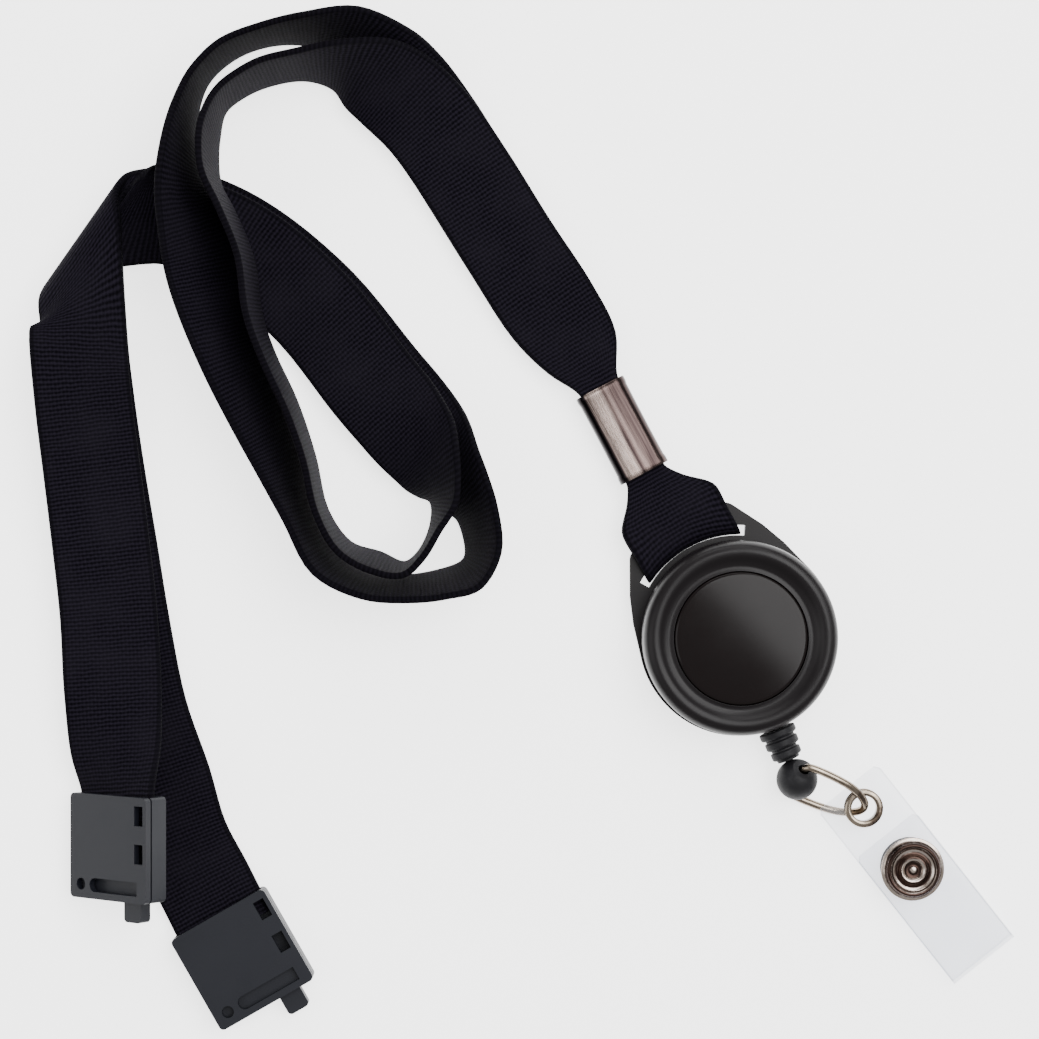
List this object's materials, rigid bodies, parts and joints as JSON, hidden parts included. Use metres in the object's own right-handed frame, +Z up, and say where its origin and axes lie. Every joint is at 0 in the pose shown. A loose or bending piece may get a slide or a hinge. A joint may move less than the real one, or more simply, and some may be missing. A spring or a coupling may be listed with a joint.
{
  "type": "lanyard badge holder",
  "caption": "Woven neck strap with breakaway clasps and a crimped loop, carrying a retracting cord reel with a wire bail and a vinyl badge clip.",
  "frame": {"origin": "middle of the whole laid-out holder's footprint, on the table plane it lies on", "axes": "+Z up from the table, through the reel's face; +X to the reel and badge clip side; +Y to the neck end of the strap"},
  "size_m": [0.1618, 0.1674, 0.0199],
  "materials": {
    "strap_weave": "tightly woven black polyester tape",
    "crimp_metal": "dark polished plating",
    "clasp_plastic": "satin dark slate grey",
    "case_plastic": "satin black with a fine sheen",
    "face_plastic": "polished black",
    "inner_plastic": "natural acetal",
    "spring_steel": "blued spring steel strip",
    "cord_thread": "braided black nylon",
    "stop_rubber": "matte moulded",
    "antique_nickel": "antique nickel plating",
    "clear_vinyl": "flexible clear vinyl, slightly cloudy"
  },
  "bodies": {
    "lanyard": {"strap_strand_1": "strap_weave", "strap_strand_2": "strap_weave", "strap_loop": "strap_weave", "crimp_sleeve": "crimp_metal", "clasp_1_base": "clasp_plastic", "clasp_1_cover": "clasp_plastic", "clasp_2_base": "clasp_plastic", "clasp_2_cover": "clasp_plastic", "rear_case": "case_plastic", "front_case": "case_plastic", "face_disc": "face_plastic", "power_spring": "spring_steel"},
    "reel_spool": {"spool": "inner_plastic", "wound_cord": "cord_thread"},
    "cord_stop": {"strain_relief": "stop_rubber", "stopper_ball": "stop_rubber", "cord_end": "cord_thread"},
    "bail": {"wire_bail": "antique_nickel"},
    "clip": {"clip_back_leg": "clear_vinyl", "eyelet": "antique_nickel", "snap_stud": "antique_nickel", "snap_post": "antique_nickel"},
    "flap": {"clip_front_leg": "clear_vinyl", "snap_cap": "antique_nickel", "snap_socket": "antique_nickel"}
  },
  "joints": [
    {"name": "cord_pull", "type": "slide", "parent": "lanyard", "child": "cord_stop", "axis": [0.3795, -0.9252, 0], "range_m": [0, 0.86], "stiffness_N_per_m": 0.6, "springref_m": -0.9},
    {"name": "spool_spin", "type": "hinge", "parent": "lanyard", "child": "reel_spool", "pos_m": [0.03518, -0.01882, 0], "axis": [0, 0, 1], "range_deg": [0, 4700]},
    {"name": "bail_pivot", "type": "hinge", "parent": "cord_stop", "child": "bail", "pos_m": [0.04489, -0.04237, 0.0039], "axis": [0.3424, 0.6355, 0.692], "range_deg": [-60, 60]},
    {"name": "clip_swing", "type": "hinge", "parent": "bail", "child": "clip", "pos_m": [0.05604, -0.04722, 0.00284], "axis": [0.0347, -0.0438, 0.9984], "range_deg": [-30, 85]},
    {"name": "clip_flap", "type": "hinge", "parent": "clip", "child": "flap", "pos_m": [0.07611, -0.07254, 0.00213], "axis": [0.7837, 0.6212, 0], "range_deg": [0, 150]}
  ],
  "couplings": [
    {"joint": "spool_spin", "follows": "cord_pull", "rad_per_m": 93.5}
  ]
}
